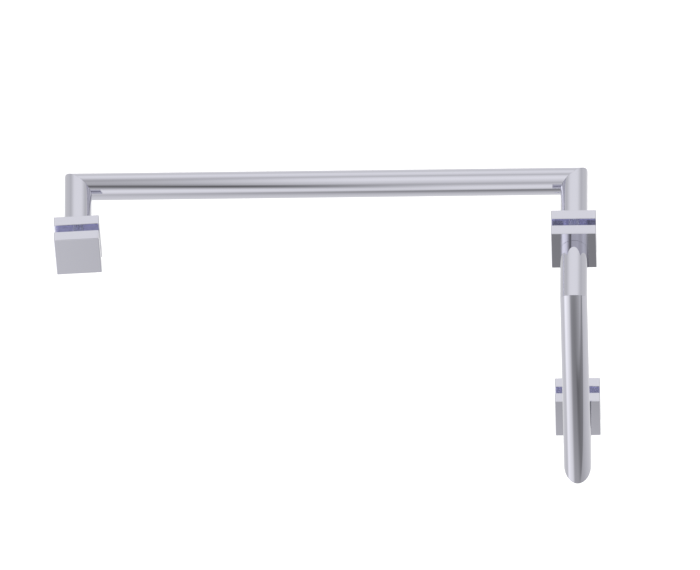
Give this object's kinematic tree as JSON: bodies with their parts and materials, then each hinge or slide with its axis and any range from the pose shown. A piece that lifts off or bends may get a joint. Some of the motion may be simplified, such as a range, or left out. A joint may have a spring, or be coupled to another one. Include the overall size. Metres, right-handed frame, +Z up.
{
  "type": "through-glass towel bar with pull handle",
  "caption": "Chrome towel bar on one side of a glass door, joined through the glass to a vertical pull handle on the other, with square plates at every hole.",
  "frame": {"origin": "centre of the glass hole that the towel bar and the handle share, on the middle plane of the glass", "axes": "+X along the towel bar with the bar's other end at -X, +Y through the glass to the towel side, +Z up with the handle hanging to -Z"},
  "size_m": [0.4997, 0.1892, 0.2457],
  "materials": {
    "chrome_tube": "polished chrome",
    "chrome_plate": "polished chrome",
    "clear_vinyl": "clear soft vinyl",
    "stud_steel": "zinc plated, threaded",
    "insert_brass": "turned",
    "screw_steel": "stainless, socket head"
  },
  "bodies": {
    "root": {"bar_tube": "chrome_tube", "bar_leg_left": "chrome_tube", "bar_leg_right": "chrome_tube", "grip_tube": "chrome_tube", "handle_leg_top": "chrome_tube", "handle_leg_bottom": "chrome_tube", "insert_bar_left": "insert_brass", "insert_bar_right": "insert_brass", "insert_handle_top": "insert_brass", "insert_handle_bottom": "insert_brass", "stud_left": "stud_steel", "stud_top": "stud_steel", "stud_bottom": "stud_steel", "sleeve_left": "clear_vinyl", "sleeve_top": "clear_vinyl", "sleeve_bottom": "clear_vinyl"},
    "swivel_bar_left": {"plate_bar_left": "chrome_plate", "gasket_bar_left": "clear_vinyl"},
    "swivel_cap_left": {"cap_left": "chrome_plate", "gasket_cap_left": "clear_vinyl"},
    "swivel_bar_right": {"plate_bar_right": "chrome_plate", "gasket_bar_right": "clear_vinyl"},
    "swivel_handle_top": {"plate_handle_top": "chrome_plate", "gasket_handle_top": "clear_vinyl"},
    "swivel_cap_bottom": {"cap_bottom": "chrome_plate", "gasket_cap_bottom": "clear_vinyl"},
    "swivel_handle_bottom": {"plate_handle_bottom": "chrome_plate", "gasket_handle_bottom": "clear_vinyl"},
    "grub_top": {"grub_screw_top": "screw_steel"},
    "grub_bottom": {"grub_screw_bottom": "screw_steel"}
  },
  "joints": [
    {"name": "turn_bar_left", "type": "hinge", "parent": "root", "child": "swivel_bar_left", "pos_m": [-0.4572, 0, 0], "axis": [0, 1, 0], "continuous": true},
    {"name": "turn_cap_left", "type": "hinge", "parent": "root", "child": "swivel_cap_left", "pos_m": [-0.4572, 0, 0], "axis": [0, 1, 0], "continuous": true},
    {"name": "turn_bar_right", "type": "hinge", "parent": "root", "child": "swivel_bar_right", "pos_m": [0, 0, 0], "axis": [0, 1, 0], "continuous": true},
    {"name": "turn_handle_top", "type": "hinge", "parent": "root", "child": "swivel_handle_top", "pos_m": [0, 0, 0], "axis": [0, 1, 0], "continuous": true},
    {"name": "turn_cap_bottom", "type": "hinge", "parent": "root", "child": "swivel_cap_bottom", "pos_m": [0, 0, -0.2032], "axis": [0, 1, 0], "continuous": true},
    {"name": "turn_handle_bottom", "type": "hinge", "parent": "root", "child": "swivel_handle_bottom", "pos_m": [0, 0, -0.2032], "axis": [0, 1, 0], "continuous": true},
    {"name": "back_out_grub_top", "type": "slide", "parent": "root", "child": "grub_top", "axis": [0, 0, -1], "range_m": [0, 0.004]},
    {"name": "back_out_grub_bottom", "type": "slide", "parent": "root", "child": "grub_bottom", "axis": [0, 0, -1], "range_m": [0, 0.004]}
  ]
}
